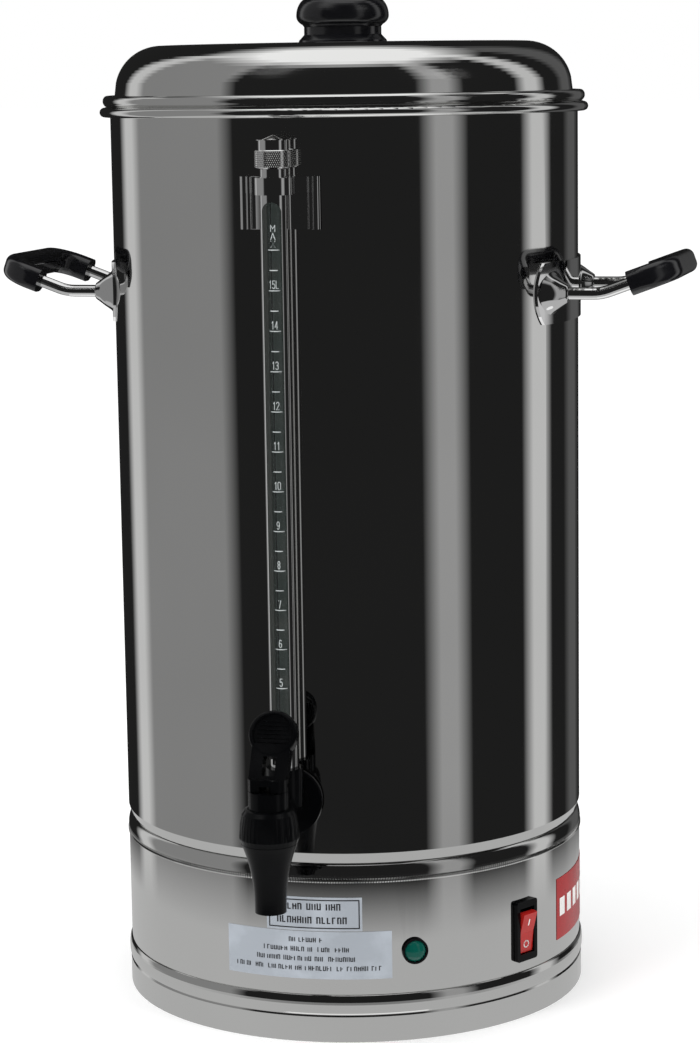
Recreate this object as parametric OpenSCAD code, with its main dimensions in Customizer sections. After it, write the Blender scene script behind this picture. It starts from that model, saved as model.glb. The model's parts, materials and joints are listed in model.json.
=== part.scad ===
// Electric hot-water urn: a steel vessel with a lid, a sight gauge, a tap, two side handles
// and a skirt that holds the heating element and its controls.
// Millimetres. +Z is up, z = 0 is the floor, and the vessel's axis is x = y = 0.
// The tap and the gauge face -Y. An azimuth is measured from -Y towards +X.

/* [Vessel] */
// Outside radius of the vessel and of the skirt below it
body_r = 126; // [125:0.5:127]
// Thickness of the steel sheet
sheet_t = 0.8; // [0.6:0.1:0.8]
// Height of the top of the vessel's rolled rim
rim_z = 484; // [480:1:500]
// Radius of the rolled rim's wire edge
rim_bead_r = 2.5; // [2:0.1:2.8]
// Height of the crease where the vessel meets the skirt
seam_z = 96; // [95.5:0.1:96.5]

/* [Lid] */
// Rise of the lid's flat top above the vessel's rim
lid_rise = 33; // [30:1:36]
// Radius of the curve that joins the lid's top to its side
lid_corner_r = 25; // [22:1:26]
// Largest radius of the knob
knob_r = 24.9; // [24:0.1:26]
// Height of the knob and its base above the lid
knob_h = 24; // [23:1:28]

/* [Handles] */
// Height of the handles' plates
handle_z = 385.5; // [360:0.5:420]
// Half of the distance between a handle's two legs
leg_half = 39; // [37:0.5:41]
// Radius of the handle rod
rod_r = 3.25; // [3:0.05:3.5]
// Upward bend of the handle, in degrees
handle_tilt = 20; // [10:1:25]
// Width of the grip's section
grip_w = 13; // [12:0.5:14]

/* [Sight gauge] */
// Distance of the gauge's axis from the vessel's axis
gauge_rho = 137; // [136.5:0.1:137.5]
// Outside radius of the slotted shield
shield_r = 7.2; // [7:0.1:7.4]
// Height of the shield's top
shield_top_z = 450.4; // [440:0.1:455]
// Outside radius of the gauge glass
glass_r = 3.9; // [3.6:0.1:4]

/* [Tap] */
// Distance of the spout's axis from the vessel's axis
spout_rho = 167; // [166:0.5:170]
// Height of the tap's shank
shank_z = 130; // [129.5:0.1:130.5]
// Height of the spout's mouth
spout_z = 82; // [80:1:86]
// Lean of the closed lever towards the vessel, in degrees
lever_lean = 26.8; // [25:0.1:27]

/* [Base] */
// Height of the base ring
ring_h = 25.2; // [25:0.1:25.4]
// Azimuth of the rocker switch, in degrees
switch_az = 60.3; // [55:0.1:65]
// Azimuth of the pilot lamp, in degrees
lamp_az = 28.9; // [28:0.1:35]
// Height of the controls on the skirt
control_z = 48; // [46:0.5:50]

/* [Hidden] */
$fn = 96;

// Colours
steel = "#c4c6c8";
bright = "#d9dbdd";
bakelite = "#17171a";
rubber = "#26262a";
alloy = "#b0b3b5";
brass = "#c2a252";
ceramic = "#e9e4d8";

// Clearances
slip = 0.02;
run = 0.08;
apart = 0.35;

// Vessel
inner_r = body_r - sheet_t;
neck_z = seam_z + 5.5;
groove_r = body_r - 1.8;
tail_r = body_r - 2.7;
tail_z = seam_z - 8;
floor_z = seam_z - 6.4;
bead_x = body_r + 3.1;

// Skirt and base ring
shoulder_z = seam_z - 6.5;
shoulder_w = 2.7;
shoulder_h = 6.1;
skirt_low_z = ring_h + 0.4;
ring_r = body_r + 0.8;
flange_z = 7;
flange_in_r = 105;
foot_rho = 115;
foot_r = 8.5;
cover_z = flange_z - 0.9;

// Heating under the vessel's floor
spreader_low_z = floor_z - sheet_t - 4;
element_r = 62;
element_tube_r = 4;
element_z = spreader_low_z - element_tube_r - 0.05;
bracket_z = spreader_low_z - 11.2;
foot_x = 51.5;

// Handles
plate_t = 1.4;
plate_h = 32;
plate_end_r = 23.5;
plate_end_t = 28.8;
bend_x = body_r + 17;
bend_r = 25;
slant_x = bend_x + bend_r * sin(handle_tilt);
slant_z = handle_z + bend_r * (1 - cos(handle_tilt));
crossbar_u = 31.3;
corner_r = 14;
grip_start_u = 11.5;
grip_round = 4.5;
ferrule_x = body_r - 9;
rod_end_x = body_r - 16;
rod_hole_r = rod_r + slip;

// Gauge
shield_in_r = shield_r - 0.8;
shield_low_z = shank_z + 20;
slot_w = 10;
slot_top_z = shield_top_z - 12.4;
clip_low_z = shield_top_z - 8.9;
bracket_low_z = shield_top_z - 26.4;
fitting_post_r = 5.4;
fitting_z = shield_top_z + 3.8;
cap_z = fitting_z + 0.5;

// Tap
shank_r = 8;
shank_bore_r = 5;
shank_in_rho = 112;
chamber_r = 9;
seat_z = shank_z - 18;
outlet_r = 6;
bonnet_z = shank_z - 12;
bonnet_top_z = shank_z + 6;
collar_top_z = shank_z + 15;
collar_r = 10.3;
stem_r = 2.5;
pin_r = 1.25;
pin_z = collar_top_z + 3.3;
lever_w = 20.6;
lever_half_d = 7;
tilt_max = 45;
flange_rho = body_r + 1.6;
flange_r = 17.2;
flange_t = 2.8;
boss_r = 11;
boss_t = 4.6;
core_r = 12.6;
gauge_port_r = 2.5;

// Switch
rocker_rho = body_r - 4;
rocker_rest = 10;

// Lid
lid_top_z = rim_z + lid_rise;
lid_side_r = body_r - 3;
lid_t = 0.9;
bolt_hole_r = 2.6;

function arc(cx, cy, rx, ry, a0, a1, n = 12) =
    [for (i = [0:n]) [cx + rx * cos(a0 + (a1 - a0) * i / n), cy + ry * sin(a0 + (a1 - a0) * i / n)]];

function reversed(list) = [for (i = [len(list) - 1:-1:0]) list[i]];

// The faces of a closed tube swept through rings of points numbered from 0 to last
function tube_faces(last, sides) = concat(
    [for (i = [0:last - 1], j = [0:sides - 1]) let (k = (j + 1) % sides)
        [i * sides + j, (i + 1) * sides + j, (i + 1) * sides + k, i * sides + k]],
    [[for (j = [0:sides - 1]) j]],
    [[for (j = [sides - 1:-1:0]) last * sides + j]]
);

// A cylinder that points outwards (-Y), from one distance from the vessel's axis to another
module outward(r, rho0, rho1, z, x = 0) {
    translate([x, -rho0, z]) rotate([90, 0, 0]) cylinder(r = r, h = rho1 - rho0);
}

// A box centred on x that reaches outwards (-Y)
module outward_box(w, h, rho0, rho1, z) {
    translate([-w / 2, -rho1, z - h / 2]) cube([w, rho1 - rho0, h]);
}

module ring(r_out, r_in, z0, z1) {
    difference() {
        translate([0, 0, z0]) cylinder(r = r_out, h = z1 - z0);
        translate([0, 0, z0 - 1]) cylinder(r = r_in, h = z1 - z0 + 2);
    }
}

module rounded_rect(w, h, r) {
    square([w - 2 * r, h], center = true);
    square([w, h - 2 * r], center = true);
    for (x = [-1, 1], y = [-1, 1])
        translate([x * (w / 2 - r), y * (h / 2 - r)]) circle(r = r);
}

module both_sides() {
    children();
    rotate([0, 0, 180]) children();
}

// ---- Vessel ----

module leg_holes(r) {
    both_sides()
        for (t = [-leg_half, leg_half])
            translate([0, t, handle_z]) rotate([0, 90, 0]) cylinder(r = r, h = body_r + 4);
}

module vessel_wall() {
    color(steel) difference() {
        rotate_extrude() {
            polygon([
                [tail_r, tail_z], [tail_r, seam_z - 0.1], [groove_r, seam_z], [body_r, neck_z],
                [body_r, rim_z], [inner_r, rim_z], [inner_r, neck_z + 0.2],
                [groove_r - 0.85, seam_z + 0.8], [tail_r - sheet_t, seam_z + 0.7],
                [tail_r - sheet_t, tail_z]
            ]);
            translate([inner_r, rim_z - sheet_t]) square([bead_x - inner_r, sheet_t]);
            translate([bead_x, rim_z - rim_bead_r]) circle(r = rim_bead_r);
        }
        leg_holes(rod_hole_r);
        outward(shank_r + slip, 100, 140, shank_z);
        for (z = bracket_screw_z()) outward(2 + slip, 100, 140, z);
    }
}

module vessel_bottom() {
    flange_r = tail_r - sheet_t;
    color(steel) rotate_extrude() polygon([
        [0, floor_z - sheet_t], [flange_r - 1.5, floor_z - sheet_t], [flange_r, floor_z + 0.7],
        [flange_r, floor_z + 5.4], [flange_r - sheet_t, floor_z + 5.4],
        [flange_r - sheet_t, floor_z + 1.1], [flange_r - 1.9, floor_z], [0, floor_z]
    ]);
}

// ---- Skirt and base ring ----

module base_skirt() {
    shoulder_r = body_r - 2.4;
    color(steel) difference() {
        rotate_extrude() polygon(concat(
            reversed(arc(shoulder_r, shoulder_z, shoulder_w, shoulder_h, 0, 90)),
            [[body_r + 0.3, shoulder_z - 1.3], [body_r - 0.3, shoulder_z - 1.9]],
            [[body_r, shoulder_z - 3.5], [body_r, skirt_low_z], [inner_r, skirt_low_z]],
            [[inner_r, shoulder_z - 3.5], [inner_r - 0.3, shoulder_z - 2.5]],
            arc(shoulder_r, shoulder_z, shoulder_w - sheet_t, shoulder_h - sheet_t, 0, 90)
        ));
        rotate([0, 0, switch_az]) outward_box(13, 28.2, 110, 140, control_z);
        rotate([0, 0, lamp_az]) outward(5 + slip, 110, 140, control_z);
        rotate([0, 0, 180]) outward(6 + slip, 110, 140, control_z - 3);
    }
}

module foot_places() {
    for (a = [45:90:315]) rotate([0, 0, a]) translate([foot_rho, 0, 0]) children();
}

module base_ring() {
    crease_z = 14.4;
    bulge_z = (crease_z + ring_h) / 2;
    lip_r = inner_r - 0.05;
    color(steel) difference() {
        rotate_extrude() {
            polygon(concat(
                [[ring_r - sheet_t, 0], [ring_r, 0], [ring_r, crease_z - 0.8]],
                arc(body_r + 0.1, bulge_z, 1.3, ring_h - bulge_z, -80, 90),
                [[lip_r, ring_h], [lip_r, ring_h + 8], [lip_r - sheet_t, ring_h + 8]],
                [[lip_r - sheet_t, crease_z], [ring_r - sheet_t, crease_z - 1.6]]
            ));
            translate([flange_in_r, flange_z])
                square([ring_r - sheet_t + 0.2 - flange_in_r, sheet_t]);
        }
        foot_places() cylinder(r = 2.05, h = 20);
    }
}

module bottom_cover() {
    color(steel) difference() {
        translate([0, 0, cover_z]) cylinder(r = ring_r - sheet_t - 0.3, h = sheet_t);
        foot_places() cylinder(r = 2.2, h = 20);
    }
}

module rubber_feet() {
    color(rubber) foot_places() difference() {
        cylinder(r1 = foot_r - 1, r2 = foot_r, h = cover_z);
        translate([0, 0, -1]) cylinder(r = 4.2, h = 3.5);
        cylinder(r = 2.2, h = 20);
    }
}

module cover_screws() {
    color(bright) foot_places() {
        translate([0, 0, 2.5]) cylinder(r = 2, h = 10);
        difference() {
            translate([0, 0, 0.5]) cylinder(r = 3.8, h = 2);
            translate([0, 0, 0.9]) cube([5.6, 0.9, 1.2], center = true);
        }
    }
}

// ---- Heating and controls inside the skirt ----

module heat_spreader() {
    color(alloy) difference() {
        translate([0, 0, spreader_low_z]) cylinder(r = 85, h = 4);
        for (x = [-foot_x, foot_x])
            translate([x, 0, spreader_low_z - 1]) cylinder(r = 2.05, h = 4.2);
    }
}

module heating_element() {
    gap = 40;
    color(alloy) {
        rotate([0, 0, gap / 2 - 90]) rotate_extrude(angle = 360 - gap)
            translate([element_r, element_z]) circle(r = element_tube_r);
        for (a = [-gap / 2, gap / 2])
            rotate([0, 0, a - 90]) translate([element_r, 0, element_z]) {
                sphere(r = element_tube_r);
                translate([0, 0, -22]) cylinder(r = element_tube_r, h = 22);
                translate([0, 0, -32]) cylinder(r = 1.5, h = 11);
            }
    }
}

module thermostat() {
    color(ceramic) translate([26, 0, bracket_z + 1.2]) {
        cylinder(r = 12, h = 7);
        translate([0, 0, 7]) cylinder(r = 9, h = 2.95);
    }
    color(brass) for (y = [-7, 7])
        translate([23, y - 0.4, bracket_z - 9]) cube([6, 0.8, 10.2]);
}

module thermal_cutout() {
    color(bakelite) translate([-26, 0, bracket_z + 1.2]) {
        cylinder(r = 9, h = 7);
        translate([0, 0, 7]) cylinder(r = 7, h = 2.95);
    }
    color(brass) for (y = [-6, 6])
        translate([-29, y - 0.4, bracket_z - 9]) cube([6, 0.8, 10.2]);
}

module control_bracket() {
    span = 2 * 46;
    color(bright) difference() {
        union() {
            translate([-span / 2, -14, bracket_z]) cube([span, 28, 1.2]);
            for (s = [-1, 1]) {
                translate([s * (span / 2 + 0.6) - 0.6, -14, bracket_z]) cube([1.2, 28, 11.15]);
                translate([s * foot_x - 5.5, -14, spreader_low_z - 1.25]) cube([11, 28, 1.2]);
            }
        }
        for (x = [-foot_x, foot_x])
            translate([x, 0, spreader_low_z - 3]) cylinder(r = 2.2, h = 5);
        for (x = [-26, 26], y = [-7, 7])
            translate([x - 4.5, y - 1.9, bracket_z - 1]) cube([9, 3.8, 3]);
    }
}

module bracket_screws() {
    color(bright) for (x = [-foot_x, foot_x]) translate([x, 0, 0]) {
        translate([0, 0, spreader_low_z - 1.3]) cylinder(r = 2, h = 4.2);
        translate([0, 0, spreader_low_z - 4]) cylinder(r = 3.4, h = 2.7);
    }
}

module terminal_block() {
    block = [42, 18, 16];
    top = cover_z + sheet_t;
    color(ceramic) difference() {
        translate([-block.x / 2, 76, top]) cube(block);
        for (x = [-13, 0, 13]) {
            translate([x, 75, top + 6]) rotate([-90, 0, 0]) cylinder(r = 2.4, h = 20);
            translate([x, 85, top + 9]) cylinder(r = 3, h = 10);
        }
    }
    color(brass) for (x = [-13, 0, 13])
        translate([x, 85, top + 10]) cylinder(r = 2.6, h = 4);
}

module cable_gland() {
    color(bakelite) rotate([0, 0, 180]) difference() {
        union() {
            outward(6, 112, 128, control_z - 3);
            translate([0, -body_r - 0.05, control_z - 3]) rotate([90, 0, 0])
                cylinder(r = 10, h = 5, $fn = 6);
            translate([0, -body_r - 5, control_z - 3]) rotate([90, 0, 0]) rotate_extrude()
                polygon(concat([[0, 0], [8.6, 0], [8.6, 6]], arc(5.6, 6, 3, 4, 0, 90, 8), [[0, 10]]));
        }
        outward(4, 100, 160, control_z - 3);
    }
}

module gland_nut() {
    color(bakelite) rotate([0, 0, 180]) difference() {
        translate([0, -119, control_z - 3]) rotate([90, 0, 0]) cylinder(r = 9.5, h = 5, $fn = 6);
        outward(6 + slip, 110, 130, control_z - 3);
    }
}

module earth_stud() {
    top = cover_z + sheet_t;
    color(brass) translate([44, 80, top]) {
        cylinder(r = 2, h = 16);
        for (z = [1, 6]) translate([0, 0, z]) cylinder(r = 4, h = 3.2, $fn = 6);
        translate([0, 0, 4.4]) cylinder(r = 4.6, h = 0.8);
    }
}

// ---- Rocker switch and pilot lamp ----

module switch_housing() {
    face_rho = body_r + 2.3;
    color(bakelite) rotate([0, 0, switch_az]) difference() {
        union() {
            translate([0, -body_r - 0.05, control_z]) rotate([90, 0, 0])
                linear_extrude(face_rho - body_r - 0.05) rounded_rect(16, 33, 1.5);
            outward_box(12.8, 28, body_r - 22, body_r + 1, control_z);
        }
        outward_box(11.2, 25.2, body_r - 14, body_r + 5, control_z);
        rocker_pivot(1.2 + run, 12.6);
    }
}

// The rocker's pivot pin, or the hole for it, drawn with the switch at the front
module rocker_pivot(r, width) {
    translate([-width / 2, -rocker_rho, control_z]) rotate([0, 90, 0]) cylinder(r = r, h = width);
}

module switch_terminals() {
    color(brass) rotate([0, 0, switch_az])
        for (z = [-8, 0, 8]) outward_box(6, 0.8, body_r - 30, body_r - 22, control_z + z);
}

// The rocker's side view, with its pivot at the origin and its face towards +X
module rocker_outline() {
    polygon([[7, 11.2], [6, 0], [7, -11.2], [3.4, -11.2], [-4, -4], [-4, 4], [3.4, 11.2]]);
}

module rocker() {
    width = 10.4;
    color("#c22a2c") rotate([0, 0, switch_az]) {
        rocker_pivot(1.2, 12.2);
        translate([-width / 2, -rocker_rho, control_z]) rotate([90, 0, 90]) linear_extrude(width)
            mirror([1, 0, 0]) rotate([0, 0, -rocker_rest]) rocker_outline();
    }
}

module pilot_lamp_body() {
    color(bakelite) rotate([0, 0, lamp_az]) difference() {
        union() {
            outward(5, body_r - 26, body_r + 0.5, control_z);
            outward(6.9, body_r + 0.05, body_r + 1.8, control_z);
        }
        outward(4.2, body_r - 20, body_r + 5, control_z);
        outward(5.8, body_r + 0.4, body_r + 5, control_z);
    }
}

module pilot_lamp_lens() {
    dome_r = 6.9;
    color([0.05, 0.42, 0.36, 0.85]) rotate([0, 0, lamp_az]) {
        outward(4.15, body_r - 8, body_r + 0.45, control_z);
        intersection() {
            outward(5.7, body_r + 0.45, body_r + 10, control_z);
            translate([0, -(body_r + 4 - dome_r), control_z]) sphere(r = dome_r);
        }
    }
}

// ---- Handles, drawn on the +X side ----

module plate_outline() {
    intersection() {
        square([200, plate_h], center = true);
        union() {
            square([2 * plate_end_t, plate_h], center = true);
            for (s = [-1, 1]) translate([s * plate_end_t, 0]) circle(r = plate_end_r);
        }
    }
}

module handle_plate() {
    color(bright) difference() {
        intersection() {
            ring(body_r + plate_t, body_r + 0.05, handle_z - plate_h, handle_z + plate_h);
            translate([body_r - 30, 0, handle_z]) rotate([90, 0, 90])
                linear_extrude(50) plate_outline();
        }
        leg_holes(rod_hole_r);
    }
}

// Sweeps a section along the tilted U from one leg's start, round the crossbar, to the other's
module tilted_u(start_u) {
    straight = crossbar_u - corner_r - start_u;
    side = leg_half - corner_r;
    translate([slant_x, 0, slant_z]) rotate([0, -handle_tilt, 0]) {
        for (s = [-1, 1]) {
            translate([start_u, s * leg_half, 0]) rotate([0, 90, 0])
                linear_extrude(straight) children();
            translate([crossbar_u - corner_r, s * side, 0]) rotate([0, 0, s > 0 ? 0 : -90])
                rotate_extrude(angle = 90) translate([corner_r, 0]) children();
        }
        translate([crossbar_u, side, 0]) rotate([90, 0, 0]) linear_extrude(2 * side) children();
    }
}

// Stations along one half of the rod: [point, direction, normal of the rod's plane]
function rod_bend(a) = [
    [bend_x + bend_r * sin(a), leg_half, handle_z + bend_r * (1 - cos(a))],
    [cos(a), 0, sin(a)], [-sin(a), 0, cos(a)]
];

function rod_corner(c) = let (
    u = crossbar_u - corner_r + corner_r * sin(c),
    v = leg_half - corner_r + corner_r * cos(c),
    out = [cos(handle_tilt), 0, sin(handle_tilt)]
) [
    [slant_x, v, slant_z] + u * out,
    cos(c) * out - [0, sin(c), 0], [-sin(handle_tilt), 0, cos(handle_tilt)]
];

function rod_mirrored(s) = [
    [s[0].x, -s[0].y, s[0].z], [-s[1].x, s[1].y, -s[1].z], s[2]
];

module handle_rod() {
    sides = 20;
    half = concat(
        [[[rod_end_x, leg_half, handle_z], [1, 0, 0], [0, 0, 1]]],
        [for (a = [0:handle_tilt / 4:handle_tilt]) rod_bend(a)],
        [for (c = [0:5:90]) rod_corner(c)]
    );
    path = concat(half, [for (s = reversed(half)) rod_mirrored(s)]);
    last = len(path) - 1;
    points = [for (s = path, j = [0:sides - 1])
        s[0] + rod_r * (cos(360 * j / sides) * s[2] + sin(360 * j / sides) * cross(s[2], s[1]))];
    color(bright) polyhedron(points = points, faces = tube_faces(last, sides));
}

module handle_grip() {
    color(bakelite) difference() {
        tilted_u(grip_start_u) rounded_rect(grip_w, grip_w, grip_round);
        tilted_u(grip_start_u - 1) circle(r = rod_hole_r);
    }
}

module handle_left_plate() rotate([0, 0, 180]) handle_plate();
module handle_right_plate() handle_plate();
module handle_left_rod() rotate([0, 0, 180]) handle_rod();
module handle_right_rod() handle_rod();
module handle_left_grip() rotate([0, 0, 180]) handle_grip();
module handle_right_grip() handle_grip();

module handle_ferrules() {
    base_r = 9.75;
    tip_r = 4.3;
    color(bright) difference() {
        both_sides() for (t = [-leg_half, leg_half])
            translate([ferrule_x, t, handle_z]) rotate([0, 90, 0]) rotate_extrude()
                polygon(concat(
                    [[0, 0], [base_r, 0]], arc(tip_r, 3, base_r - tip_r, 9.8, 0, 90), [[0, 12.8]]
                ));
        cylinder(r = body_r + plate_t + slip, h = rim_z);
        leg_holes(rod_hole_r);
    }
}

module handle_nuts() {
    color(bright) difference() {
        both_sides() for (t = [-leg_half, leg_half])
            translate([body_r - 14.4, t, handle_z]) rotate([0, 90, 0])
                cylinder(r = 5.77, h = 5, $fn = 6);
        leg_holes(rod_hole_r);
    }
}

// ---- Sight gauge ----

function bracket_screw_z() = [bracket_low_z + 6, bracket_low_z + 14];

module gauge_axis() {
    translate([0, -gauge_rho, 0]) children();
}

module gauge_bracket() {
    plate_half = 16;
    color(bright) difference() {
        union() {
            intersection() {
                ring(body_r + 2.4, body_r, bracket_low_z, shield_top_z - 0.4);
                translate([-plate_half, -150, 0]) cube([2 * plate_half, 150, 500]);
            }
            for (s = [-1, 1])
                translate([s * plate_half, -sqrt(pow(body_r + 1.9, 2) - pow(plate_half, 2)), bracket_low_z])
                    cylinder(r = 1.8, h = shield_top_z - 0.4 - bracket_low_z);
            intersection() {
                translate([-6, -gauge_rho, clip_low_z]) cube([12, 12, 8.5]);
                difference() {
                    cylinder(r = 160, h = 500);
                    translate([0, 0, -1]) cylinder(r = body_r, h = 502);
                }
            }
            gauge_axis() translate([0, 0, clip_low_z]) cylinder(r = 9.8, h = 8.5);
        }
        translate([0, 0, -1]) cylinder(r = body_r + 0.05, h = 502);
        gauge_axis() cylinder(r = shield_r + slip, h = 500);
        for (z = bracket_screw_z()) outward(2 + slip, 120, 128.2, z);
    }
}

module gauge_bracket_screws() {
    color(bright) for (z = bracket_screw_z()) {
        outward(2, 121, 128, z);
        outward(3.6, 122.4, 125, z);
    }
}

module gauge_shield() {
    slot_z = shield_low_z + 2;
    color(bright) difference() {
        gauge_axis() ring(shield_r, shield_in_r, shield_low_z, shield_top_z);
        translate([-slot_w / 2, -gauge_rho - 20, slot_z])
            cube([slot_w, 20, slot_top_z - slot_w / 2 - slot_z]);
        outward(slot_w / 2, gauge_rho, gauge_rho + 20, slot_top_z - slot_w / 2);
    }
}

module gauge_glass() {
    color([0.85, 0.92, 0.92, 0.5]) gauge_axis()
        ring(glass_r, glass_r - 1.2, shield_low_z - 4, shield_top_z + 1.6);
}

module gauge_scale() {
    color("#202224") translate([-4, -gauge_rho + 4.3, shield_low_z + 4])
        cube([8, 0.5, shield_top_z - 9 - shield_low_z - 4]);
}

module gauge_top_fitting() {
    plug_z = shield_top_z - 7;
    color(bright) gauge_axis() difference() {
        union() {
            translate([0, 0, plug_z]) cylinder(r = shield_in_r - slip, h = 8);
            translate([0, 0, shield_top_z + slip]) cylinder(r = 6.8, h = fitting_z - shield_top_z);
            translate([0, 0, fitting_z]) cylinder(r = fitting_post_r, h = 7.6);
        }
        translate([0, 0, plug_z - 1]) cylinder(r = glass_r + slip, h = 9.8);
        cylinder(r = 1.5, h = 500);
    }
}

module gauge_seals() {
    color(rubber) gauge_axis() {
        ring(shield_in_r - slip, glass_r + slip, shield_top_z - 8.6, shield_top_z - 7.1);
        ring(shield_in_r - slip, glass_r + slip, shield_low_z + 2.1, shield_low_z + 3.6);
    }
}

module gauge_base() {
    color(bakelite) difference() {
        gauge_axis() {
            translate([0, 0, shank_z]) cylinder(r = 9.5, h = shield_low_z - shank_z - slip);
            translate([0, 0, shield_low_z - 1]) cylinder(r = shield_in_r - slip, h = 3);
        }
        outward(shank_r + slip, 100, 170, shank_z);
        outward(flange_r + slip, 100, flange_rho + flange_t + slip, shank_z);
        outward(boss_r + slip, 100, flange_rho + boss_t + slip, shank_z);
        gauge_axis() {
            translate([0, 0, shield_low_z - 4.2]) cylinder(r = glass_r + slip, h = 10);
            cylinder(r = gauge_port_r, h = 200);
        }
    }
}

module gauge_cap() {
    knurl_top = cap_z + 8.9;
    drum_top = knurl_top + 4.8;
    color(bright) gauge_axis() difference() {
        rotate_extrude() polygon([
            [0, cap_z], [9, cap_z], [9.4, cap_z + 0.4], [9.4, knurl_top - 0.4], [9, knurl_top],
            [7.6, knurl_top], [7.6, drum_top], [8.6, drum_top], [8.6, drum_top + 0.3],
            [0, drum_top + 2.8]
        ]);
        translate([0, 0, cap_z - 1]) cylinder(r = fitting_post_r + run, h = 8.6);
    }
}

// ---- Tap ----

module spout_axis() {
    translate([0, -spout_rho, 0]) children();
}

// Outside radius of the spout at a fraction of the way up it
function spout_r(t) = 8.05 + 6.35 * pow(t, 2.4);

module tap_shank() {
    color(bakelite) difference() {
        union() {
            outward(shank_r, shank_in_rho, spout_rho, shank_z);
            outward(flange_r, flange_rho, flange_rho + flange_t, shank_z);
            outward(boss_r, flange_rho, flange_rho + boss_t, shank_z);
        }
        outward(shank_bore_r, 100, spout_rho, shank_z);
        spout_axis() cylinder(r = core_r + slip, h = 200);
        gauge_axis() translate([0, 0, shank_z]) cylinder(r = gauge_port_r, h = 20);
    }
}

module tap_body() {
    spout_h = bonnet_z - spout_z;
    steps = 14;
    color(bakelite) difference() {
        spout_axis() rotate_extrude() polygon(concat(
            [[0, spout_z]],
            [for (i = [0:steps]) [spout_r(i / steps), spout_z + spout_h * i / steps]],
            [[core_r, bonnet_z], [core_r, bonnet_top_z - 2], [0, bonnet_top_z - 2]]
        ));
        outward(shank_bore_r, 100, spout_rho, shank_z);
        spout_axis() translate([0, 0, seat_z]) cylinder(r = chamber_r, h = 40);
        spout_axis() cylinder(r = outlet_r, h = 200);
    }
}

module tap_bonnet() {
    low = bonnet_z + 0.2;
    color(bakelite) difference() {
        spout_axis() rotate_extrude() polygon([
            [0, low], [14.3, low], [15.2, low + 2.8], [14.7, low + 9.8], [13.8, low + 15.3],
            [12.5, low + 17.3], [11, bonnet_top_z], [0, bonnet_top_z]
        ]);
        spout_axis() translate([0, 0, low - 1]) cylinder(r = core_r + slip, h = 17);
        spout_axis() cylinder(r = stem_r + run, h = 200);
        difference() {
            union() {
                outward(shank_r + slip, 100, spout_rho, shank_z);
                translate([-shank_r - slip, -spout_rho, low - 1])
                    cube([2 * shank_r + 2 * slip, 30, shank_z - low + 1]);
            }
            spout_axis() cylinder(r = core_r, h = 300);
        }
    }
}

module tap_collar() {
    color(bakelite) spout_axis()
        ring(collar_r, stem_r + 0.4, bonnet_top_z + slip, collar_top_z);
}

module tap_outer_washer() {
    color(rubber) difference() {
        outward(16.6, body_r - 8, flange_rho, shank_z);
        cylinder(r = body_r + slip, h = 300, $fn = 250);
        outward(shank_r + slip, 100, 140, shank_z);
    }
}

module tap_inner_washer() {
    color(rubber) difference() {
        intersection() {
            outward(14.5, 120, body_r, shank_z);
            cylinder(r = inner_r - slip, h = 300, $fn = 250);
        }
        outward(shank_r + slip, 100, 140, shank_z);
    }
}

module tap_nut() {
    color(bright) difference() {
        translate([0, -114, shank_z]) rotate([90, 0, 0]) cylinder(r = 14, h = 5.9, $fn = 6);
        outward(shank_r + slip, 100, 140, shank_z);
    }
}

// A coil spring round the stem, swept as rings of points along a helix
module tap_spring() {
    wire_r = 0.5;
    coil_r = 4.5;
    turns = 4;
    steps = 18 * turns;
    sides = 8;
    low = seat_z + 12.2 + wire_r;
    high = bonnet_top_z - 2.1 - wire_r;
    points = [for (i = [0:steps], j = [0:sides - 1]) let (
        a = 360 * turns * i / steps,
        b = 360 * j / sides,
        r = coil_r + wire_r * cos(b)
    ) [r * cos(a), r * sin(a), low + (high - low) * i / steps + wire_r * sin(b)]];
    color(bright) spout_axis() polyhedron(points = points, faces = tube_faces(steps, sides));
}

module tap_stem() {
    color(bright) difference() {
        spout_axis() union() {
            translate([0, 0, seat_z + 3]) cylinder(r = stem_r, h = pin_z - seat_z - 3);
            intersection() {
                translate([0, 0, pin_z]) cylinder(r = stem_r, h = 4);
                translate([-4, 0, pin_z]) rotate([0, 90, 0]) cylinder(r = 2.3, h = 8);
            }
        }
        lever_pin_hole(pin_r + slip);
    }
}

module lever_pin_hole(r) {
    translate([-15, -spout_rho, pin_z]) rotate([0, 90, 0]) cylinder(r = r, h = 30);
}

module tap_seat_cup() {
    color(rubber) spout_axis() difference() {
        union() {
            translate([0, 0, seat_z + 0.3]) cylinder(r1 = 7.4, r2 = 8, h = 3);
            translate([0, 0, seat_z + 3.3]) cylinder(r = 8, h = 4);
            translate([0, 0, seat_z + 7.3]) cylinder(r1 = 8, r2 = 5.4, h = 4.7);
        }
        translate([0, 0, seat_z + 3]) cylinder(r = stem_r + slip, h = 20);
    }
}

module tap_lever_pin() {
    color(bright) translate([-9.4, -spout_rho, pin_z]) rotate([0, 90, 0]) cylinder(r = pin_r, h = 18.8);
}

// The thumb pad: an oval disc with a dished, ridged face towards -Y
module thumb_pad() {
    stretch = 12.7 / 12.1;
    ridges = 7;
    dish_r = 9.4;
    scale_x(stretch) rotate([90, 0, 0]) rotate_extrude() polygon(concat(
        [[0, -3.2]], arc(10.7, -1.7, 1.4, 1.5, -90, 0, 4), arc(10.7, 1.9, 1.4, 1.3, 0, 90, 4),
        [[10.1, 3.2], [dish_r, 1.9], [0, 1.6]]
    ));
    for (i = [0:ridges - 1])
        let (z = (i - (ridges - 1) / 2) * 2.2, half = sqrt(dish_r * dish_r - z * z) * stretch - 1.2)
            translate([-half, -2.2, z - 0.35]) cube([2 * half, 1.2, 0.7]);
}

module scale_x(s) {
    multmatrix([[s, 0, 0, 0], [0, 1, 0, 0], [0, 0, 1, 0]]) children();
}

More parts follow.
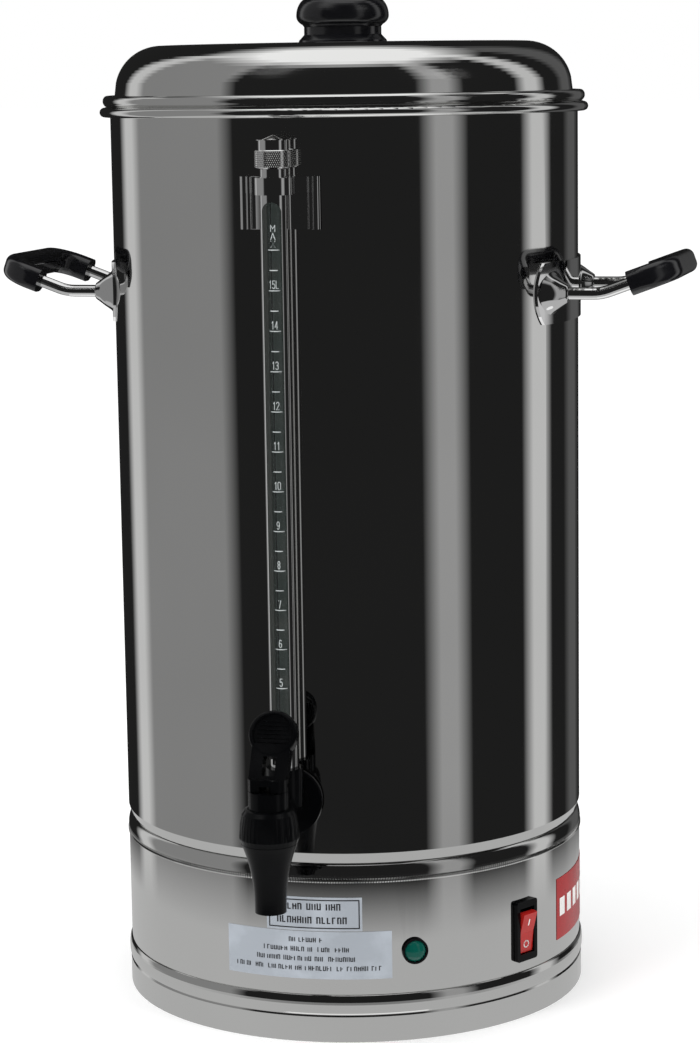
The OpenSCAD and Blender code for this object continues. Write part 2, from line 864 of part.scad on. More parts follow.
// The slot's side view about the pin: it clears the stem from rest to full tilt
module stem_slot() {
    depth = 12;
    circle(r = 2.8);
    translate([-15, -depth]) square([18.2, depth]);
    rotate(-tilt_max) translate([-2.7, -depth]) square([5.4, depth]);
}

module tap_lever() {
    low = collar_top_z + apart;
    arm_d = 6;
    color(bakelite) difference() {
        union() {
            intersection() {
                translate([-lever_w / 2, -spout_rho - lever_half_d, low])
                    cube([lever_w, 2 * lever_half_d, 6.2]);
                spout_axis() cylinder(r = lever_w / 2, h = 300);
            }
            translate([0, -spout_rho, pin_z]) rotate([-lever_lean, 0, 0]) {
                translate([-lever_w / 2 + 0.4, -arm_d / 2, 0]) cube([lever_w - 0.8, arm_d, 20]);
                translate([0, 0, 25.5]) thumb_pad();
            }
        }
        translate([0, -spout_rho, pin_z]) rotate([-lever_lean, 0, 0]) {
            translate([-3.4, -10, 3.4]) cube([6.8, 30, 10]);
            translate([-15, arm_d / 2, -10]) cube([30, 30, 22]);
        }
        translate([-2.85, -spout_rho, pin_z]) rotate([90, 0, 90])
            linear_extrude(5.7) stem_slot();
        lever_pin_hole(pin_r + run);
    }
}

// ---- Lid ----

module lid_shell() {
    t = lid_t;
    low = rim_z + apart;
    corner_x = lid_side_r - lid_corner_r;
    outer = concat([[lid_side_r + 0.3, low + 6.2]], arc(corner_x, lid_top_z - lid_corner_r, lid_corner_r,
        lid_corner_r - 0.6, 12, 84, 18), [[0, lid_top_z]]);
    inner = concat([[0, lid_top_z - t]], arc(corner_x, lid_top_z - lid_corner_r, lid_corner_r - t,
        lid_corner_r - 0.6 - t, 84, 12, 18), [[lid_side_r - t + 0.2, low + 6]]);
    color(steel) difference() {
        rotate_extrude() {
            polygon(concat(
                [[inner_r - 0.7, low], [body_r + 2.8, low]],
                arc(body_r + 1.3, low + 3, 2.5, 3, -70, 90),
                outer, inner,
                [[lid_side_r - t, low - 7], [inner_r - 0.7, low - 7]]
            ));
        }
        cylinder(r = bolt_hole_r, h = 600);
    }
}

module knob_base() {
    color(bakelite) difference() {
        translate([0, 0, lid_top_z + slip]) rotate_extrude() polygon([
            [0, 0], [23.8, 0], [23.6, 1], [20.8, 4], [20.8, 8], [0, 8]
        ]);
        cylinder(r = bolt_hole_r, h = 600);
    }
}

module lid_knob() {
    low = lid_top_z + 8.04;
    mid = low + 6;
    high = lid_top_z + knob_h;
    color(bakelite) difference() {
        rotate_extrude() polygon(concat(
            [[0, low], [20.6, low]],
            arc(knob_r - 6.5, mid, 6.5, 5.4, -60, 0, 8),
            arc(knob_r - 7.5, mid, 7.5, high - mid, 0, 90, 12),
            [[17, high], [16.8, high - 0.8], [0, high - 0.8]]
        ));
        translate([0, 0, low - 1]) cylinder(r = bolt_hole_r, h = 13);
    }
}

module knob_insert() {
    color("#8d9094") translate([0, 0, lid_top_z + knob_h - 0.78]) cylinder(r = 16.7, h = 0.7);
}

module knob_screw() {
    color(bright) {
        translate([0, 0, lid_top_z - lid_t - 3]) cylinder(r = 4.4, h = 2.95);
        translate([0, 0, lid_top_z - 2]) cylinder(r = 2.5, h = 19);
    }
}

// ---- Labels on the skirt ----

module skirt_label(az0, az1, z0, z1) {
    rotate([0, 0, az0 - 90]) rotate_extrude(angle = az1 - az0)
        translate([body_r + slip, z0]) square([0.2, z1 - z0]);
}

module label_upper() color("#e6e8ea") skirt_label(-6.7, 16.4, 60, 78);
module label_lower() color("#d4dbe0") skirt_label(-17.2, 23.4, 34, 59.6);
module label_side() color("#c8242a") skirt_label(74.6, 115, 34, 68);

vessel_wall();
vessel_bottom();
base_skirt();
base_ring();
bottom_cover();
rubber_feet();
cover_screws();
heat_spreader();
heating_element();
thermostat();
thermal_cutout();
control_bracket();
bracket_screws();
terminal_block();
cable_gland();
gland_nut();
earth_stud();
switch_housing();
switch_terminals();
rocker();
pilot_lamp_body();
pilot_lamp_lens();
handle_left_plate();
handle_right_plate();
handle_left_rod();
handle_right_rod();
handle_left_grip();
handle_right_grip();
handle_ferrules();
handle_nuts();
gauge_bracket();
gauge_bracket_screws();
gauge_shield();
gauge_glass();
gauge_scale();
gauge_top_fitting();
gauge_seals();
gauge_base();
gauge_cap();
tap_shank();
tap_body();
tap_bonnet();
tap_collar();
tap_outer_washer();
tap_inner_washer();
tap_nut();
tap_spring();
tap_stem();
tap_seat_cup();
tap_lever_pin();
tap_lever();
lid_shell();
knob_base();
lid_knob();
knob_insert();
knob_screw();
label_upper();
label_lower();
label_side();
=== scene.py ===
import bpy
import json
import math
import random
from mathutils import Matrix, Vector


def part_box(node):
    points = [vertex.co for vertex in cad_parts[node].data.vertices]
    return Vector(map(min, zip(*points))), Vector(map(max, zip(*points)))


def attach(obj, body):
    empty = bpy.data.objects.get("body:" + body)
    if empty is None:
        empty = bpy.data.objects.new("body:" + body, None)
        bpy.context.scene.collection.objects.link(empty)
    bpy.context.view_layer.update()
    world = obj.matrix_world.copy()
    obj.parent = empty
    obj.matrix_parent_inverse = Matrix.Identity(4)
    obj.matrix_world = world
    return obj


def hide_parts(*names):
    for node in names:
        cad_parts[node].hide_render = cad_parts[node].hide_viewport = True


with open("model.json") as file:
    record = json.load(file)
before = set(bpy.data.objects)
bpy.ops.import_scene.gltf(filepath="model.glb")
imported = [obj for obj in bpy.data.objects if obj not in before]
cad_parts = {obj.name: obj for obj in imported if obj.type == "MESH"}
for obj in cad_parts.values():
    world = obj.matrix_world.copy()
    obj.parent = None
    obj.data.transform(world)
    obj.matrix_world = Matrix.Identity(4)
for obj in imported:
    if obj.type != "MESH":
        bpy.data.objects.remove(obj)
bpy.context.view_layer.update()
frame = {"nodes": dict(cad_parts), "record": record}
NODES = frame["nodes"]
scene = bpy.context.scene
scene.view_settings.view_transform = "Standard"

# ---- Sizes taken from the frame, in metres ----

GAUGE = sum(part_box("gauge_shield"), Vector()) / 2
SPOUT = sum(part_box("tap_collar"), Vector()) / 2
PLATE_T = 0.0014
BODY_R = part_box("handle_right_plate")[1].x - PLATE_T
SKIRT_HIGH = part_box("base_skirt")[1].z
LITRE = 0.02024
FLOOR_OF_SCALE = 0.0902
SWITCH_AZ = math.radians(60.3)
ROD_R = 0.00325


# ---- Camera ----

CAMERA_AZ = 0.2601
CAMERA_RANGE = 1.5506
CAMERA_Z = 0.5016
CAMERA_PITCH = 0.1573
CAMERA_ROLL = 0.0148
CAMERA_LENS = 98.03
SENSOR_H = 36.0


def add_camera():
    camera = bpy.data.objects.new("camera", bpy.data.cameras.new("camera"))
    scene.collection.objects.link(camera)
    camera.data.sensor_fit = "VERTICAL"
    camera.data.sensor_height = SENSOR_H
    camera.data.lens = CAMERA_LENS
    camera.data.clip_end = 200.0
    flat_right = Vector((math.cos(CAMERA_AZ), math.sin(CAMERA_AZ), 0))
    away = Vector((-math.sin(CAMERA_AZ), math.cos(CAMERA_AZ), 0))
    forward = away * math.cos(CAMERA_PITCH) - Vector((0, 0, math.sin(CAMERA_PITCH)))
    flat_up = flat_right.cross(forward)
    right = flat_right * math.cos(CAMERA_ROLL) - flat_up * math.sin(CAMERA_ROLL)
    up = flat_right * math.sin(CAMERA_ROLL) + flat_up * math.cos(CAMERA_ROLL)
    turn = Matrix((right, up, -forward)).transposed()
    place = -away * CAMERA_RANGE + Vector((0, 0, CAMERA_Z))
    camera.matrix_world = Matrix.Translation(place) @ turn.to_4x4()
    scene.camera = camera


# ---- Materials ----

def node_material(name, **sockets):
    material = bpy.data.materials.new(name)
    material.use_nodes = True
    shader = material.node_tree.nodes["Principled BSDF"]
    for socket, value in sockets.items():
        shader.inputs[socket.replace("_", " ")].default_value = value
    return material, material.node_tree, shader


def noise(tree, scale, detail=3.0, stretch=(1, 1, 1)):
    """A noise in the object's own coordinates, stretched along its axes."""
    where = tree.nodes.new("ShaderNodeTexCoord")
    mapping = tree.nodes.new("ShaderNodeMapping")
    mapping.inputs["Scale"].default_value = stretch
    texture = tree.nodes.new("ShaderNodeTexNoise")
    texture.inputs["Scale"].default_value = scale
    texture.inputs["Detail"].default_value = detail
    tree.links.new(where.outputs["Object"], mapping.inputs["Vector"])
    tree.links.new(mapping.outputs["Vector"], texture.inputs["Vector"])
    return texture.outputs["Fac"]


def spread(tree, source, low, high, from_low=0.35, from_high=0.65):
    """Maps a noise onto the range from low to high."""
    remap = tree.nodes.new("ShaderNodeMapRange")
    remap.inputs["From Min"].default_value = from_low
    remap.inputs["From Max"].default_value = from_high
    remap.inputs["To Min"].default_value = low
    remap.inputs["To Max"].default_value = high
    tree.links.new(source, remap.inputs["Value"])
    return remap.outputs["Result"]


def mix_colour(tree, source, first, second):
    mix = tree.nodes.new("ShaderNodeMix")
    mix.data_type = "RGBA"
    mix.inputs["A"].default_value = first
    mix.inputs["B"].default_value = second
    tree.links.new(source, mix.inputs["Factor"])
    return mix.outputs["Result"]


def add_bump(tree, shader, source, strength, distance):
    bump = tree.nodes.new("ShaderNodeBump")
    bump.inputs["Strength"].default_value = strength
    bump.inputs["Distance"].default_value = distance
    previous = shader.inputs["Normal"].links
    if previous:
        tree.links.new(previous[0].from_socket, bump.inputs["Normal"])
    tree.links.new(source, bump.inputs["Height"])
    tree.links.new(bump.outputs["Normal"], shader.inputs["Normal"])


def metal(name, colour, low, high, wave=0.0, grain=0.0, grain_stretch=(1, 1, 1)):
    material, tree, shader = node_material(name, Metallic=1.0)
    smudge = noise(tree, 14.0, 4.0)
    tree.links.new(spread(tree, smudge, low, high), shader.inputs["Roughness"])
    dull = tuple(c * 0.93 for c in colour[:3]) + (1,)
    tree.links.new(mix_colour(tree, spread(tree, noise(tree, 5.0), 0, 1), colour, dull),
                   shader.inputs["Base Color"])
    if wave:
        add_bump(tree, shader, noise(tree, 9.0, 1.0, (1, 1, 0.35)), wave, 0.002)
    if grain:
        add_bump(tree, shader, noise(tree, 900.0, 2.0, grain_stretch), grain, 0.0002)
    return material


def plastic(name, colour, low, high, grain=0.05, scale=700.0, **sockets):
    material, tree, shader = node_material(name, **sockets)
    worn = tuple(min(1, c * 1.3 + 0.001) for c in colour[:3]) + (1,)
    tree.links.new(mix_colour(tree, spread(tree, noise(tree, 60.0, 5.0), 0, 1, 0.45, 0.8), colour, worn),
                   shader.inputs["Base Color"])
    tree.links.new(spread(tree, noise(tree, 30.0, 4.0), low, high), shader.inputs["Roughness"])
    add_bump(tree, shader, noise(tree, scale, 3.0), grain, 0.0002)
    return material


def make_materials():
    steel = metal("polished_steel", (0.80, 0.80, 0.79, 1), 0.02, 0.06, wave=0.12)
    return {
        "polished_steel": steel,
        "satin_steel": metal("satin_steel", (0.66, 0.66, 0.65, 1), 0.22, 0.34, grain=0.3),
        "chrome": metal("chrome", (0.84, 0.84, 0.84, 1), 0.02, 0.07, wave=0.05),
        "fastener_steel": metal("fastener_steel", (0.62, 0.62, 0.61, 1), 0.2, 0.35, grain=0.2),
        "aluminium": metal("aluminium", (0.72, 0.73, 0.74, 1), 0.35, 0.5, grain=0.4),
        "element_steel": metal("element_steel", (0.38, 0.36, 0.34, 1), 0.3, 0.5, grain=0.3),
        "brass": metal("brass", (0.72, 0.56, 0.26, 1), 0.2, 0.35, grain=0.2),
        "knob_insert": metal("knob_insert", (0.50, 0.51, 0.52, 1), 0.25, 0.4, grain=0.3),
        "ceramic": plastic("ceramic", (0.80, 0.77, 0.70, 1), 0.5, 0.7),
        "black_bakelite": plastic("black_bakelite", (0.004, 0.004, 0.005, 1), 0.10, 0.20, 0.03,
                                  Coat_Weight=0.3, Coat_Roughness=0.06),
        "black_plastic": plastic("black_plastic", (0.0016, 0.0017, 0.002, 1), 0.12, 0.22, 0.06,
                                 Specular_IOR_Level=0.13),
        "red_plastic": plastic("red_plastic", (0.36, 0.012, 0.010, 1), 0.16, 0.28, 0.03,
                               Coat_Weight=0.3, Coat_Roughness=0.08),
        "green_lens": plastic("green_lens", (0.001, 0.062, 0.046, 1), 0.08, 0.16, 0.02,
                              Specular_IOR_Level=0.3, Coat_Weight=0.1, Coat_Roughness=0.04),
        "rubber": plastic("rubber", (0.02, 0.02, 0.021, 1), 0.65, 0.8, 0.3),
        "gauge_glass": plastic("gauge_glass", (0.85, 0.90, 0.90, 1), 0.01, 0.04, 0.0,
                               Transmission_Weight=1.0, IOR=1.47),
        # Painted light: the scale strip glows faintly through its own emission, standing in for the light
        # that the glass keeps from it; its dark grey base colour is its own.
        "scale_black": plastic("scale_black", (0.075, 0.080, 0.080, 1), 0.4, 0.55,
                               Emission_Color=(0.040, 0.043, 0.040, 1), Emission_Strength=1.0),
        "label_pale": plastic("label_pale", (0.34, 0.37, 0.41, 1), 0.28, 0.4, 0.02),
        "label_red": plastic("label_red", (0.33, 0.008, 0.010, 1), 0.22, 0.35, 0.02),
    }


MATERIALS = make_materials()
INK = plastic("ink_black", (0.012, 0.012, 0.014, 1), 0.3, 0.45, 0.0)
MARK = plastic("mark_grey", (0.42, 0.45, 0.45, 1), 0.35, 0.5, 0.0)
WHITE_INK = plastic("ink_white", (0.75, 0.74, 0.72, 1), 0.35, 0.5, 0.0)


def dress_cad():
    """Gives each CAD node its slot's material."""
    slots = {part["node"]: part["material_slot"] for part in frame["record"]["subparts"]}
    for name, node in NODES.items():
        material = MATERIALS[slots[name]]
        for index in range(max(1, len(node.material_slots))):
            if not node.material_slots:
                node.data.materials.append(material)
            node.material_slots[index].link = "OBJECT"
            node.material_slots[index].material = material


# ---- Mesh helpers ----

def add_mesh(name, vertices, faces, material, body, smooth_angle=35):
    mesh = bpy.data.meshes.new(name)
    mesh.from_pydata(vertices, [], faces)
    mesh.validate()
    mesh.materials.append(material)
    mesh.polygons.foreach_set("use_smooth", [True] * len(mesh.polygons))
    mesh.set_sharp_from_angle(angle=math.radians(smooth_angle))
    piece = bpy.data.objects.new(name, mesh)
    scene.collection.objects.link(piece)
    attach(piece, body)
    return piece


class Patches:
    """Collects small quads that are laid on a curved surface by place(u, v) -> point."""

    def __init__(self, place):
        self.place = place
        self.vertices = []
        self.faces = []

    def quad(self, corners):
        first = len(self.vertices)
        self.vertices += [self.place(u, v) for u, v in corners]
        self.faces.append(tuple(range(first, first + 4)))

    def bar(self, u0, u1, v0, v1, longest=0.0012):
        """An upright rectangle, split along u so that it follows the curve."""
        count = max(1, math.ceil((u1 - u0) / longest))
        for i in range(count):
            a, b = u0 + (u1 - u0) * i / count, u0 + (u1 - u0) * (i + 1) / count
            self.quad([(a, v0), (b, v0), (b, v1), (a, v1)])

    def stroke(self, points, width):
        """A pen stroke through points, as overlapping quads."""
        for (u0, v0), (u1, v1) in zip(points, points[1:]):
            length = math.hypot(u1 - u0, v1 - v0)
            du, dv = (u1 - u0) / length * width / 2, (v1 - v0) / length * width / 2
            self.quad([(u0 - du - -dv, v0 - dv - du), (u1 + du + dv, v1 + dv - du),
                       (u1 + du - dv, v1 + dv + du), (u0 - du - dv, v0 - dv + du)])


# ---- Scale marks on the gauge glass ----

# Pen strokes for each sign, in a box 1 wide and 2 high
SIGNS = {
    "0": [[(0, 0.3), (0, 1.7), (0.3, 2), (0.7, 2), (1, 1.7), (1, 0.3), (0.7, 0), (0.3, 0), (0, 0.3)]],
    "1": [[(0.2, 1.6), (0.6, 2), (0.6, 0)]],
    "2": [[(0, 1.6), (0.3, 2), (0.7, 2), (1, 1.6), (1, 1.3), (0, 0), (1, 0)]],
    "3": [[(0, 1.7), (0.3, 2), (0.7, 2), (1, 1.6), (0.9, 1.2), (0.5, 1.05), (0.9, 0.9), (1, 0.4), (0.7, 0),
           (0.3, 0), (0, 0.3)]],
    "4": [[(0.75, 0), (0.75, 2), (0, 0.55), (1, 0.55)]],
    "5": [[(0.95, 2), (0.1, 2), (0.05, 1.1), (0.6, 1.25), (1, 0.9), (1, 0.35), (0.7, 0), (0.3, 0), (0, 0.3)]],
    "6": [[(0.95, 1.75), (0.6, 2), (0.25, 1.9), (0, 1.3), (0, 0.4), (0.3, 0), (0.7, 0), (1, 0.35), (1, 0.8),
           (0.7, 1.15), (0.3, 1.1), (0, 0.8)]],
    "7": [[(0, 2), (1, 2), (0.4, 0)]],
    "8": [[(0.3, 1.1), (0, 1.45), (0.3, 2), (0.7, 2), (1, 1.45), (0.7, 1.1), (0.3, 1.1), (0, 0.6), (0.3, 0),
           (0.7, 0), (1, 0.6), (0.7, 1.1)]],
    "9": [[(0.05, 0.25), (0.4, 0), (0.75, 0.1), (1, 0.7), (1, 1.6), (0.7, 2), (0.3, 2), (0, 1.65), (0, 1.2),
           (0.3, 0.85), (0.7, 0.9), (1, 1.2)]],
    "L": [[(0, 2), (0, 0), (0.8, 0)]],
    "M": [[(0, 0), (0, 2), (0.5, 0.9), (1, 2), (1, 0)]],
    "A": [[(0, 0), (0.5, 2), (1, 0)], [(0.2, 0.7), (0.8, 0.7)]],
    "X": [[(0, 0), (1, 2)], [(0, 2), (1, 0)]],
}
SIGN_H = 0.0038
MAX_H = 0.0031
PEN = 0.00034


def write_sign(marks, sign, left, low, width, height):
    for line in SIGNS[sign]:
        marks.stroke([(left + u * width, low + v / 2 * height) for u, v in line], PEN)


def write_word(marks, word, low):
    width, gap = 0.00125, 0.0006
    left = -(len(word) * width + (len(word) - 1) * gap) / 2
    for number, sign in enumerate(word):
        write_sign(marks, sign, left + number * (width + gap), low, width, SIGN_H)


def add_scale_marks():
    """Litre marks and numbers printed on the front of the gauge glass."""
    low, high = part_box("gauge_glass")
    radius = (high.x - low.x) / 2 + 0.00006

    def on_glass(u, v):
        return (GAUGE.x + u, GAUGE.y - math.sqrt(radius ** 2 - u ** 2), v)

    marks = Patches(on_glass)
    tick_h = 0.0005
    for litres in range(5, 17):
        z = FLOOR_OF_SCALE + litres * LITRE
        marks.bar(-0.0030, 0.0030, z, z + tick_h, 0.0006)
        if litres < 16:
            half_z = z + LITRE / 2
            marks.bar(-0.0021, 0.0021, half_z, half_z + tick_h, 0.0006)
            write_word(marks, f"{litres}L" if litres == 15 else str(litres), z + 0.0014)
    top = FLOOR_OF_SCALE + 16 * LITRE + 0.0016
    for number, sign in enumerate("XAM"):
        write_sign(marks, sign, -0.0011, top + number * 0.0039, 0.0022, MAX_H)
    add_mesh("scale_marks", marks.vertices, marks.faces, MARK, "urn")


# ---- Knurled cap, ribbed bonnet and crimped seam ----

def lathe_rows(centre, rows, columns):
    """Vertices and faces of a skin of revolution; each row is (z, radius at column number)."""
    vertices, faces = [], []
    for z, radius in rows:
        for i in range(columns):
            a = 2 * math.pi * i / columns
            vertices.append((centre.x + radius(i) * math.cos(a), centre.y + radius(i) * math.sin(a), z))
    for row in range(len(rows) - 1):
        for i in range(columns):
            j = (i + 1) % columns
            low, high = row * columns, (row + 1) * columns
            faces.append((low + i, low + j, high + j, high + i))
    return vertices, faces


def add_cap_knurl():
    """Rows of small pyramids round the cap's grip."""
    low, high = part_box("gauge_cap")
    radius = (high.x - low.x) / 2
    bottom, top = low.z + 0.0004, low.z + 0.0085
    columns, rows = 56, 8
    vertices, faces = [], []

    def point(column, row, lift):
        a = 2 * math.pi * column / columns
        r = radius - 0.0002 + lift
        return (GAUGE.x + r * math.cos(a), GAUGE.y + r * math.sin(a), bottom + (top - bottom) * row / rows)

    for row in range(rows):
        for column in range(columns):
            first = len(vertices)
            shift = 0.5 * (row % 2)
            vertices += [point(column + shift + u, row + v, 0) for u, v in ((0, 0), (1, 0), (1, 1), (0, 1))]
            vertices.append(point(column + shift + 0.5, row + 0.5, 0.00042))
            faces += [(first + k, first + (k + 1) % 4, first + 4) for k in range(4)]
    add_mesh("cap_knurl", vertices, faces, MATERIALS["fastener_steel"], "gauge_cap", 5)


def add_bracket_face():
    """The gauge bracket's bowed face plate, with its two rolled edges."""
    low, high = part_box("gauge_bracket")
    z0, z1 = low.z - 0.0002, high.z + 0.0002
    half, bow_r = 0.0158, 0.042
    middle_rho = BODY_R + 0.0037
    profile = []
    for i in range(25):
        x = -half + 2 * half * i / 24
        profile.append((x, middle_rho - bow_r + math.sqrt(bow_r ** 2 - x ** 2)))
    edge_r = 0.0023
    edge_y = profile[-1][1] - 0.0001
    right = [(half + 0.0004 + edge_r * (1 - math.cos(math.radians(a))),
              edge_y + edge_r * math.sin(math.radians(a)))
             for a in range(0, 181, 15)]
    left = [(-x, y) for x, y in reversed(right)]
    outline = left + profile + right
    vertices = [(x, -y, z) for z in (z0, z1) for x, y in outline]
    count = len(outline)
    faces = [(i, i + 1, count + i + 1, count + i) for i in range(count - 1)]
    back = [(x, -(math.sqrt((BODY_R + 0.0004) ** 2 - x ** 2)), z) for z in (z0, z1) for x, _ in outline]
    offset = len(vertices)
    vertices += back
    for level, flip in ((0, 1), (count, -1)):
        for i in range(count - 1):
            face = (level + i, offset + level + i, offset + level + i + 1, level + i + 1)
            faces.append(face[::flip])
    add_mesh("bracket_face", vertices, faces, MATERIALS["chrome"], "urn", 40)


def add_bonnet_ribs():
    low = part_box("tap_bonnet")[0]
    profile = [(0.0006, 0.0144), (0.0028, 0.0152), (0.0098, 0.0147), (0.0150, 0.0139)]

    def ribbed(radius, depth):
        return lambda i: radius + (depth if i % 4 in (1, 2) else -0.0001)

    rows = [(low.z + z, ribbed(r, 0 if number in (0, 3) else 0.00014))
            for number, (z, r) in enumerate(profile)]
    vertices, faces = lathe_rows(SPOUT, rows, 160)
    add_mesh("bonnet_ribs", vertices, faces, MATERIALS["black_plastic"], "urn", 20)


def plate_x(y):
    """How far out a handle plate's face is at y, less a hair so that the flares close on it."""
    return math.sqrt((BODY_R + PLATE_T - 0.0001) ** 2 - y ** 2)


def add_ferrule_flares():
    """The flared ferrule round each handle leg, spread onto the curved plate."""
    low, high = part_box("handle_right_rod")
    leg_y, leg_z = high.y - ROD_R, low.z + ROD_R
    # (radius, height above the plate, how flat the ring is: 0 follows the plate, 1 is flat)
    profile = [(0.0112, 0.0000, 0.0), (0.0104, 0.0006, 0.3), (0.0094, 0.0018, 0.7), (0.0083, 0.0034, 1.0),
               (0.0070, 0.0052, 1.0), (0.0059, 0.0068, 1.0), (0.0051, 0.0080, 1.0), (0.0046, 0.0087, 1.0),
               (0.0034, 0.0091, 1.0)]
    columns = 48
    vertices, faces = [], []
    for side in (-1, 1):
        for leg in (-leg_y, leg_y):
            first = len(vertices)
            for radius, height, flat in profile:
                for i in range(columns):
                    a = 2 * math.pi * i / columns
                    y, z = leg + radius * math.cos(a), leg_z + radius * math.sin(a)
                    curved, level = plate_x(y), plate_x(leg)
                    vertices.append((side * (curved + (level - curved) * flat + height), side * y, z))
            for row in range(len(profile) - 1):
                for i in range(columns):
                    j, start = (i + 1) % columns, first + row * columns
                    faces.append((start + i, start + j, start + columns + j, start + columns + i))
    flares = add_mesh("ferrule_flares", vertices, faces, MATERIALS["chrome"], "urn", 60)
    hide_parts("handle_ferrules")


def add_seam_crimps():
    """The row of fine teeth under the skirt's rolled shoulder."""
    teeth = 560
    z = SKIRT_HIGH - 0.0090

    def toothed(depth):
        return lambda i: BODY_R - 0.0003 + (depth if i % 2 else 0)

    rows = [(z - 0.0012, toothed(0)), (z - 0.0004, toothed(0.0009)), (z + 0.0006, toothed(0.0009)),
            (z + 0.0010, toothed(0))]
    vertices, faces = lathe_rows(Vector(), rows, 2 * teeth)
    add_mesh("seam_crimps", vertices, faces, MATERIALS["polished_steel"], "urn", 20)


# ---- Print on the labels and the switch ----

def on_skirt(lift):
    radius = BODY_R + lift
    return lambda u, v: (math.sin(u / radius) * radius, -math.cos(u / radius) * radius, v)


def arc(degrees):
    return math.radians(degrees) * BODY_R


def print_lines(sheet, chance, left, right, baselines, height, indents):
    """Rows of short dashes that stand for lines of small print."""
    for baseline, indent in zip(baselines, indents):
        u = left + indent
        while u < right - indent:
            word = chance.randint(2, 8)
            for letter in range(word):
                if u + height * 0.62 > right - indent:
                    break
                rise = height * (0.82 + 0.18 * chance.random())
                stem = height * 0.2
                sheet.bar(u, u + stem, baseline, baseline + rise)
                if chance.random() < 0.7:
                    at = chance.choice((0, 0.4, 0.8)) * height
                    sheet.bar(u, u + height * 0.5, baseline + at, baseline + at + height * 0.16)
                if chance.random() < 0.6:
                    sheet.bar(u + height * 0.4, u + height * 0.4 + stem, baseline, baseline + rise)
                u += height * 0.74
            u += height * 0.55


def add_label_print():
    chance = random.Random(7)
    sheet = Patches(on_skirt(0.00030))
    u0, u1, z0, z1 = arc(-6.7) + 0.0012, arc(16.4) - 0.0012, 0.0612, 0.0768
    frame_w = 0.0006
    sheet.bar(u0, u1, z0, z0 + frame_w)
    sheet.bar(u0, u1, z1 - frame_w, z1)
    sheet.bar(u0, u0 + frame_w, z0, z1)
    sheet.bar(u1 - frame_w, u1, z0, z1)
    print_lines(sheet, chance, u0 + 0.003, u1 - 0.003, (0.0712, 0.0639), 0.0037, (0.0045, 0.0015))
    left, right = arc(-17.2) + 0.004, arc(23.4) - 0.004
    print_lines(sheet, chance, left, right, (0.0538, 0.0487, 0.0436, 0.0385), 0.0026,
                (0.031, 0.017, 0.013, 0.001))
    add_mesh("label_print", sheet.vertices, sheet.faces, INK, "urn")
    blocks = Patches(on_skirt(0.00030))
    start = arc(76.4)
    for number in range(7):
        u = start + number * 0.0105
        blocks.bar(u, u + 0.0068, 0.0465, 0.0565)
    add_mesh("side_label_print", blocks.vertices, blocks.faces, WHITE_INK, "urn")


def add_rocker_marks():
    """The on and off signs on the rocker's face."""
    rest = math.radians(10)
    pivot = Vector((0, -(BODY_R - 0.004), 0.048))
    turn = Matrix.Rotation(SWITCH_AZ, 3, "Z")

    def on_face(u, v):
        reach = 0.0060 + 0.001 * abs(v) / 0.0112 + 0.00008
        out, up = reach * math.cos(rest) + v * math.sin(rest), -reach * math.sin(rest) + v * math.cos(rest)
        return turn @ (pivot + Vector((u, -out, up)))

    signs = Patches(on_face)
    signs.bar(-0.0004, 0.0004, 0.0040, 0.0078)
    ring = [(0.0018 * math.cos(math.radians(a)), -0.0066 + 0.0018 * math.sin(math.radians(a)))
            for a in range(0, 361, 20)]
    signs.stroke(ring, 0.0006)
    add_mesh("rocker_marks", signs.vertices, signs.faces, WHITE_INK, "rocker")


# ---- Studio ----

# Plain grey cards round the urn: (degrees from the camera towards its right, half width, tone)
CARDS = [(-120, 10, 0.60), (-85, 30, 0.25), (45, 8, 0.35), (100, 8, 0.60), (140, 10, 0.10)]
CARD_EDGE = 8
ROOM_TONE = 0.015
TABLE_TONE = 0.50
SKY_TONE = 1.0
SURROUND_R = 0.8
CARDS_TOP, CARDS_BOTTOM = 1.45, -0.11
SKY_Z, TABLE_Z, SURROUND_BOTTOM = 2.40, -0.16, -1.1


def glossy_only(card):
    card.visible_camera = False
    card.visible_diffuse = False
    card.visible_shadow = False


def card_tone(degrees):
    """How bright the ring of cards is at an azimuth, with soft edges."""
    tone = ROOM_TONE
    for centre, half_width, card in CARDS:
        away = abs((degrees - centre + 180) % 360 - 180)
        share = min(1, max(0, (half_width - away) / CARD_EDGE + 0.5))
        tone += (card - tone) * share
    return tone


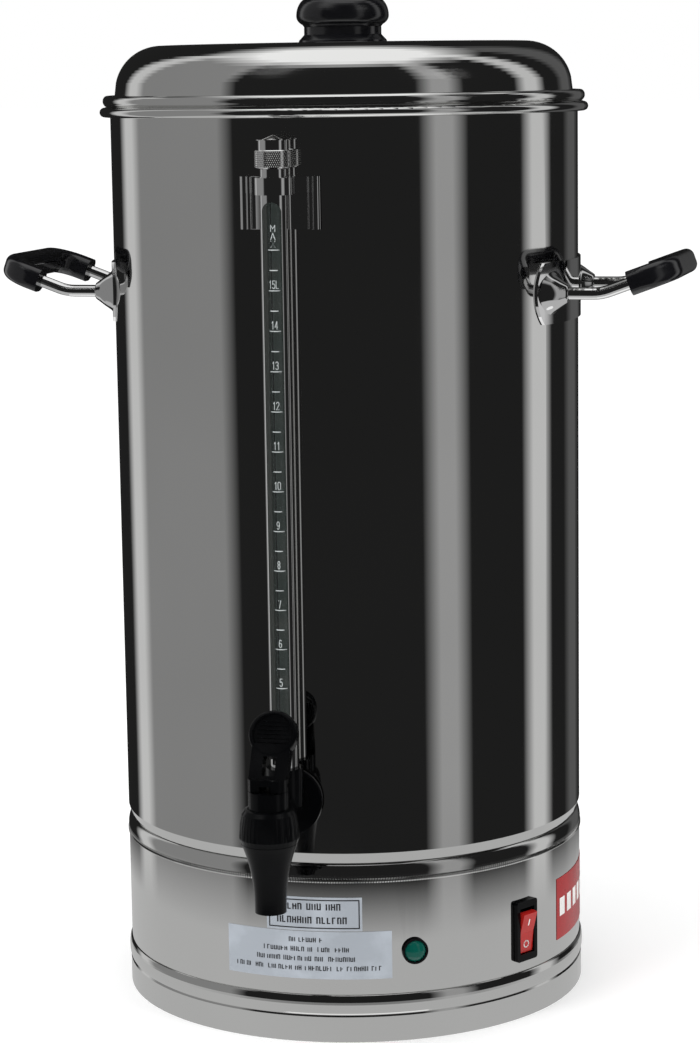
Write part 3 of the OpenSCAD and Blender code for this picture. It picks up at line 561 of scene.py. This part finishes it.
def add_surround():
    """The grey cards as one upright ring that only mirror-like surfaces see."""
    steps = 540
    levels = [
        (SKY_Z, lambda degrees: SKY_TONE), (CARDS_TOP, card_tone), (CARDS_BOTTOM, card_tone),
        (TABLE_Z, lambda degrees: TABLE_TONE), (SURROUND_BOTTOM, lambda degrees: TABLE_TONE),
    ]
    points, faces, tones = [], [], []
    for height, tone_at in levels:
        for i in range(steps):
            degrees = -180 + 360 * (i + 0.5) / steps
            azimuth = CAMERA_AZ + math.radians(degrees)
            points.append((math.sin(azimuth) * SURROUND_R, -math.cos(azimuth) * SURROUND_R, height))
            tones.append(tone_at(degrees))
    for level in range(len(levels) - 1):
        for i in range(steps):
            j = (i + 1) % steps
            low, high = level * steps, (level + 1) * steps
            faces.append((low + i, low + j, high + j, high + i))
    mesh = bpy.data.meshes.new("surround")
    mesh.from_pydata(points, [], faces)
    paint = mesh.color_attributes.new("paint", "FLOAT_COLOR", "POINT")
    for number, tone in enumerate(tones):
        paint.data[number].color = (tone, tone, tone, 1)
    material = bpy.data.materials.new("surround")
    material.use_nodes = True
    tree = material.node_tree
    tree.nodes.clear()
    source = tree.nodes.new("ShaderNodeVertexColor")
    source.layer_name = "paint"
    shine = tree.nodes.new("ShaderNodeEmission")
    shine.inputs["Strength"].default_value = 1.0
    out = tree.nodes.new("ShaderNodeOutputMaterial")
    tree.links.new(source.outputs["Color"], shine.inputs["Color"])
    tree.links.new(shine.outputs["Emission"], out.inputs["Surface"])
    mesh.materials.append(material)
    card = bpy.data.objects.new("surround", mesh)
    scene.collection.objects.link(card)
    glossy_only(card)


def add_floor():
    half = 40.0
    mesh = bpy.data.meshes.new("floor")
    corners = [(-half, -half, 0), (half, -half, 0), (half, half, 0), (-half, half, 0)]
    mesh.from_pydata(corners, [], [(0, 1, 2, 3)])
    paint, tree, shader = node_material("floor_paint", Roughness=0.9)
    shader.inputs["Base Color"].default_value = (0.95, 0.95, 0.95, 1)
    shader.inputs["Specular IOR Level"].default_value = 0.0
    shader.inputs["Emission Color"].default_value = (1, 1, 1, 1)
    shader.inputs["Emission Strength"].default_value = 0.12
    mesh.materials.append(paint)
    floor = bpy.data.objects.new("floor", mesh)
    scene.collection.objects.link(floor)
    floor.visible_glossy = False


def add_light(name, azimuth, elevation, distance, size, power):
    light = bpy.data.lights.new(name, "AREA")
    light.size = size
    light.energy = power
    lamp = bpy.data.objects.new(name, light)
    scene.collection.objects.link(lamp)
    a, e = math.radians(azimuth) + CAMERA_AZ, math.radians(elevation)
    place = Vector((math.sin(a) * math.cos(e), -math.cos(a) * math.cos(e), math.sin(e))) * distance
    lamp.location = place + Vector((0, 0, 0.3))
    lamp.rotation_euler = (-place).to_track_quat("-Z", "Y").to_euler()


def add_studio():
    world = bpy.data.worlds.new("studio")
    scene.world = world
    world.use_nodes = True
    world.node_tree.nodes["Background"].inputs["Color"].default_value = (1, 1, 1, 1)
    world.node_tree.nodes["Background"].inputs["Strength"].default_value = 1.0
    add_floor()
    add_surround()
    add_light("key", -50, 50, 2.2, 0.9, 14)
    add_light("fill", 55, 35, 2.4, 0.7, 8)


add_camera()
add_studio()
dress_cad()
add_scale_marks()
add_cap_knurl()
add_bracket_face()
add_bonnet_ribs()
add_ferrule_flares()
add_seam_crimps()
add_label_print()
add_rocker_marks()
